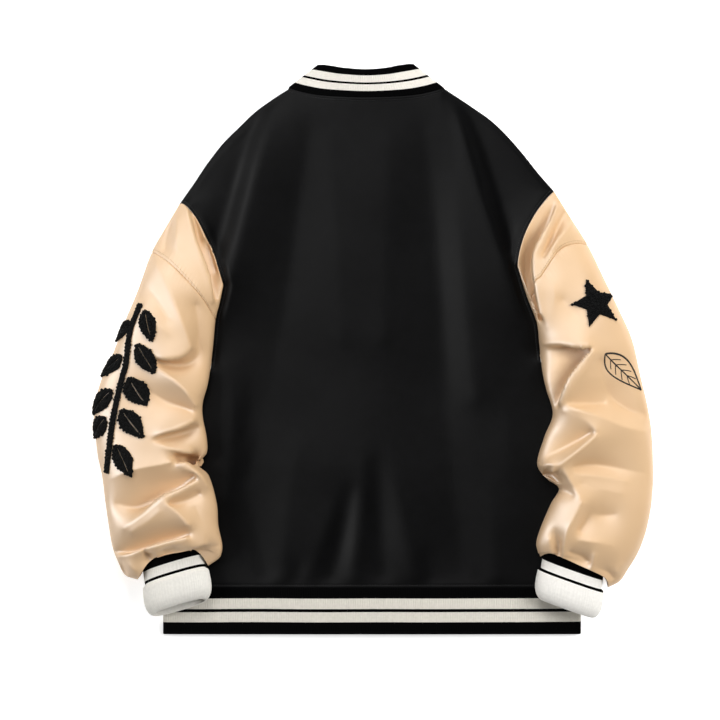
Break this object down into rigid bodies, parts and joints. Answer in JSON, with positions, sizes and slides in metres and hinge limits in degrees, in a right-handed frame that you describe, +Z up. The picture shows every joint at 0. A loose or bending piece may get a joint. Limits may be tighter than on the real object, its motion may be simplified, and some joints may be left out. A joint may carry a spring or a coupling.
{
  "type": "varsity jacket",
  "caption": "Varsity jacket laid flat on its front: black fleece body, tan leather sleeves with caps, striped rib collar, cuffs and hem, snap placket, chenille sprig and star.",
  "frame": {"origin": "under the middle of the laid jacket, on the surface it lies on, on the line the front closes along", "axes": "+X across the jacket towards the wearer's right, +Y towards the neck, +Z up from the surface, out of the jacket's back"},
  "size_m": [0.7276, 0.741, 0.0714],
  "materials": {
    "black_fleece": "matt bonded fleece, faint sheen",
    "tan_leather": "smooth soft leather, satin",
    "rib_knit": "off-white rib knit with black stripes",
    "black_chenille": "looped pile",
    "snap_metal": "plain polished cap"
  },
  "bodies": {
    "root": {"back": "black_fleece", "front_left": "black_fleece", "front_right": "black_fleece", "collar": "rib_knit", "hem_rib": "rib_knit", "cuff_left": "rib_knit", "cuff_right": "rib_knit", "sleeve_left": "tan_leather", "sleeve_right": "tan_leather", "sleeve_cap_left": "tan_leather", "sleeve_cap_right": "tan_leather", "star": "black_chenille", "sprig_stem": "black_chenille", "snap_1": "snap_metal", "snap_2": "snap_metal", "snap_3": "snap_metal", "snap_4": "snap_metal", "snap_5": "snap_metal", "snap_6": "snap_metal", "snap_7": "snap_metal", "sprig_leaf_1": "black_chenille", "sprig_leaf_2": "black_chenille", "sprig_leaf_3": "black_chenille", "sprig_leaf_4": "black_chenille", "sprig_leaf_5": "black_chenille", "sprig_leaf_6": "black_chenille", "sprig_leaf_7": "black_chenille", "sprig_leaf_8": "black_chenille", "sprig_leaf_9": "black_chenille"}
  },
  "joints": []
}
